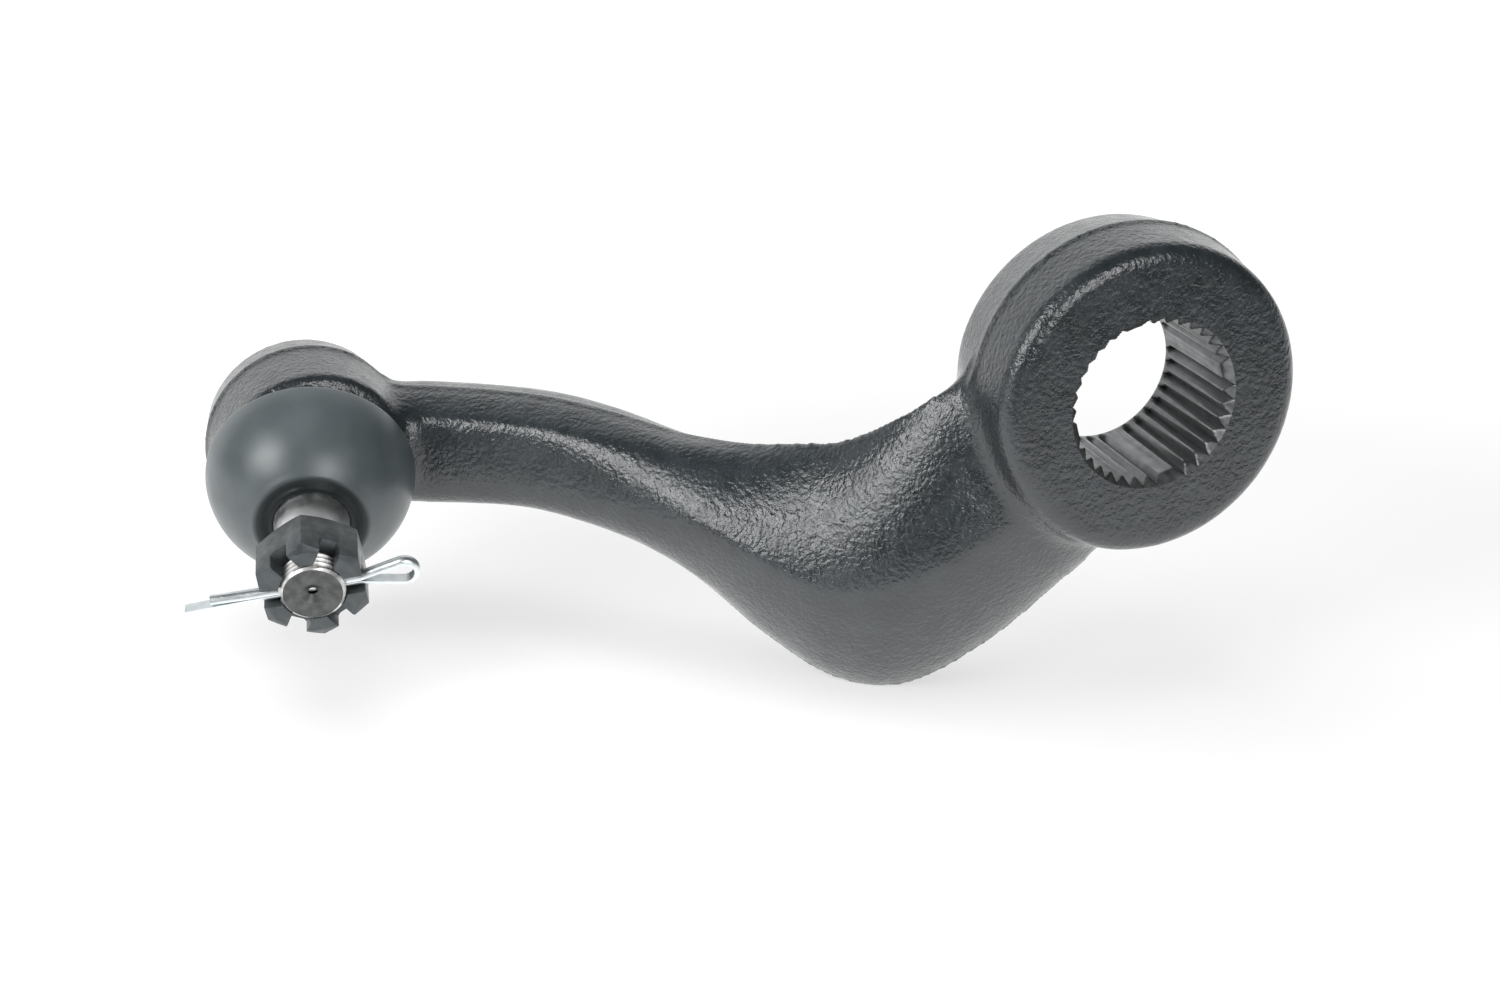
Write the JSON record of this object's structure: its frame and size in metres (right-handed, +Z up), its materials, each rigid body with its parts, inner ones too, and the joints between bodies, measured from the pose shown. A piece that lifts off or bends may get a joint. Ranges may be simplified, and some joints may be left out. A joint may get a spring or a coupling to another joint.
{
  "type": "pitman arm",
  "caption": "Drop-forged steering pitman arm: a boss with a tapered serrated bore, a cranked arm and a sealed ball socket whose threaded stud carries a slotted nut and cotter pin.",
  "frame": {"origin": "on the bore axis, at the middle of the boss's thickness", "axes": "Y is the bore axis and the large, chamfered end of the bore faces -Y; the arm runs toward -X; +Z is up as the arm lies in the picture"},
  "size_m": [0.2054, 0.1044, 0.0943],
  "materials": {
    "black_paint": "semi-gloss black paint over rough forged steel",
    "bearing_metal": "sintered, oiled",
    "bare_steel": "ground steel",
    "bearing_plastic": "moulded",
    "spring_steel": "oiled spring steel",
    "black_plate": "semi-gloss black paint",
    "boot_rubber": "smooth moulded rubber",
    "phosphate_steel": "dark phosphate, oiled",
    "zinc_steel": "bright zinc plate"
  },
  "bodies": {
    "arm": {"arm_forging": "black_paint", "disc_spring": "spring_steel", "cover_plate": "black_plate"},
    "seat": {"bearing_seat": "bearing_plastic", "dust_boot": "boot_rubber"},
    "swivel": {"half_ball": "bearing_metal"},
    "stud": {"ball_stud": "bare_steel", "slotted_nut": "phosphate_steel", "cotter_pin": "zinc_steel"}
  },
  "joints": [
    {"name": "seat_turn", "type": "hinge", "parent": "arm", "child": "seat", "pos_m": [-0.1436, 0.073, -0.0226], "axis": [0, -1, 0], "continuous": true},
    {"name": "stud_lean", "type": "hinge", "parent": "seat", "child": "swivel", "pos_m": [-0.1436, 0.073, -0.0226], "axis": [0.8572, 0, -0.515], "range_deg": [-36.7, 3.3], "deforming": ["dust_boot"]},
    {"name": "stud_spin", "type": "hinge", "parent": "swivel", "child": "stud", "pos_m": [-0.1436, 0.073, -0.0226], "axis": [-0.148, -0.9578, -0.2463], "continuous": true}
  ]
}
